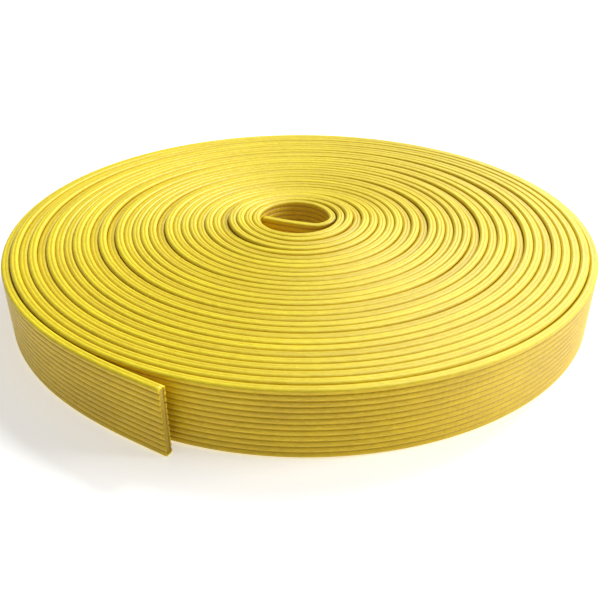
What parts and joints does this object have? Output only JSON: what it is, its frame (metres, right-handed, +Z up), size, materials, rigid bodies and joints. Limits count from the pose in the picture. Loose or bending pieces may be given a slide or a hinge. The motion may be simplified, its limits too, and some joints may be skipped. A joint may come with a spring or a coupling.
{
  "type": "martial arts belt roll",
  "caption": "Long stitched cotton belt strap wound into a flat roll that lies on its edge, with a free outer tail and a free inner end across the centre hole.",
  "frame": {"origin": "on the surface the roll lies on, at the roll's axis", "axes": "+Z up along the roll's axis; +Y to the back; the outer tail lies at the front left, towards -X and -Y"},
  "size_m": [0.3724, 0.3707, 0.04],
  "materials": {
    "cover_cloth": "matte yellow cotton twill, dyed",
    "core_cloth": "undyed stiff cotton interlining",
    "needle_thread": "yellow cotton-wrapped sewing thread",
    "bobbin_thread": "yellow cotton-wrapped sewing thread",
    "stitching": "yellow cotton-wrapped sewing thread"
  },
  "bodies": {
    "roll": {"wound_cover": "cover_cloth", "wound_core_ply_1": "core_cloth", "wound_core_ply_2": "core_cloth", "wound_core_ply_3": "core_cloth", "wound_core_ply_4": "core_cloth", "wound_needle_thread_01": "needle_thread", "wound_bobbin_thread_01": "bobbin_thread", "wound_needle_thread_02": "needle_thread", "wound_bobbin_thread_02": "bobbin_thread", "wound_needle_thread_03": "needle_thread", "wound_bobbin_thread_03": "bobbin_thread", "wound_needle_thread_04": "needle_thread", "wound_bobbin_thread_04": "bobbin_thread", "wound_needle_thread_05": "needle_thread", "wound_bobbin_thread_05": "bobbin_thread", "wound_needle_thread_06": "needle_thread", "wound_bobbin_thread_06": "bobbin_thread", "wound_needle_thread_07": "needle_thread", "wound_bobbin_thread_07": "bobbin_thread", "wound_needle_thread_08": "needle_thread", "wound_bobbin_thread_08": "bobbin_thread", "wound_needle_thread_09": "needle_thread", "wound_bobbin_thread_09": "bobbin_thread", "wound_needle_thread_10": "needle_thread", "wound_bobbin_thread_10": "bobbin_thread", "wound_needle_thread_11": "needle_thread", "wound_bobbin_thread_11": "bobbin_thread"},
    "tail_1": {"tail_1_cover": "cover_cloth", "tail_1_core_plies": "core_cloth", "tail_1_threads": "stitching"},
    "tail_2": {"tail_2_cover": "cover_cloth", "tail_2_core_plies": "core_cloth", "tail_2_threads": "stitching"},
    "tail_3": {"tail_3_cover": "cover_cloth", "tail_3_core_plies": "core_cloth", "tail_3_threads": "stitching"},
    "tail_4": {"tail_4_cover": "cover_cloth", "tail_4_core_plies": "core_cloth", "tail_4_threads": "stitching"},
    "inner_flap": {"inner_flap_cover": "cover_cloth", "inner_flap_core_plies": "core_cloth", "inner_flap_threads": "stitching"}
  },
  "joints": [
    {"name": "tail_bend_1", "type": "hinge", "parent": "roll", "child": "tail_1", "pos_m": [-0.14757, -0.11594, 0.02], "axis": [0, 0, -1], "range_deg": [0, 20], "stiffness_Nm_per_rad": 0.1},
    {"name": "tail_bend_2", "type": "hinge", "parent": "tail_1", "child": "tail_2", "pos_m": [-0.12947, -0.13641, 0.02], "axis": [0, 0, -1], "range_deg": [-0.5, 20], "stiffness_Nm_per_rad": 0.1},
    {"name": "tail_bend_3", "type": "hinge", "parent": "tail_2", "child": "tail_3", "pos_m": [-0.10886, -0.15429, 0.02], "axis": [0, 0, -1], "range_deg": [-1.5, 20], "stiffness_Nm_per_rad": 0.1},
    {"name": "tail_bend_4", "type": "hinge", "parent": "tail_3", "child": "tail_4", "pos_m": [-0.08654, -0.16984, 0.02], "axis": [0, 0, -1], "range_deg": [-4, 20], "stiffness_Nm_per_rad": 0.1},
    {"name": "inner_flap_bend", "type": "hinge", "parent": "roll", "child": "inner_flap", "pos_m": [0.00763, -0.0025, 0.02], "axis": [0, 0, -1], "range_deg": [-4, 16], "stiffness_Nm_per_rad": 0.1}
  ]
}
